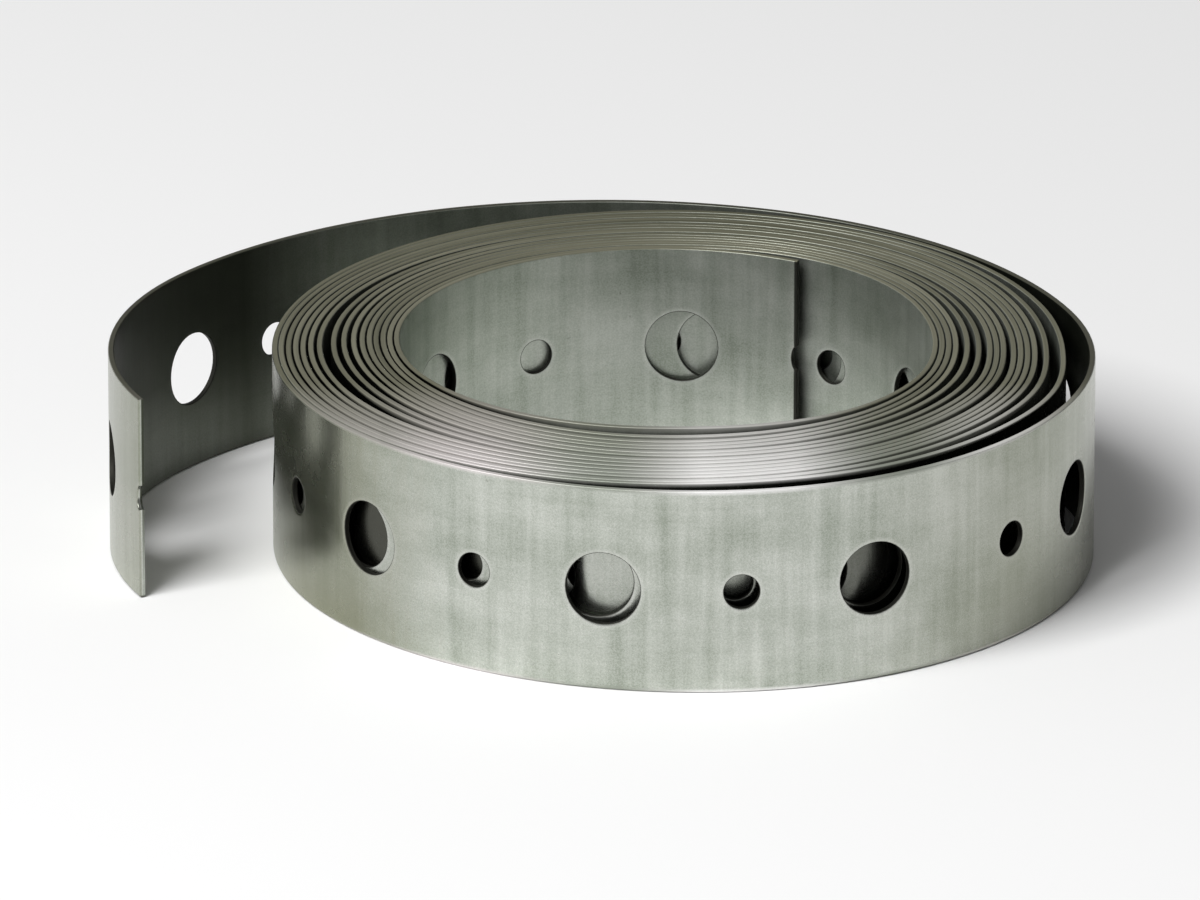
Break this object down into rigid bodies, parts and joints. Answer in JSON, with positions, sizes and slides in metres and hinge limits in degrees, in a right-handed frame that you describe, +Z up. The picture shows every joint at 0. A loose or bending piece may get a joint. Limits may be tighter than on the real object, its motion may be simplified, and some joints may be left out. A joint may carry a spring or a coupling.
{
  "type": "roll of galvanized pipe strap",
  "caption": "Thin perforated steel strap wound into a flat open roll, lying on its edge, with a loose last turn and a free tail.",
  "frame": {"origin": "on the floor, on the axis of the roll's bore", "axes": "+Z up along the bore, -Y towards the front, -X towards the free tail"},
  "size_m": [0.0887, 0.0753, 0.0191],
  "materials": {
    "galvanized_steel": "dull zinc coating with a fine lengthwise rolled grain and soft cross streaks"
  },
  "bodies": {
    "root": {"strap": "galvanized_steel"}
  },
  "joints": []
}
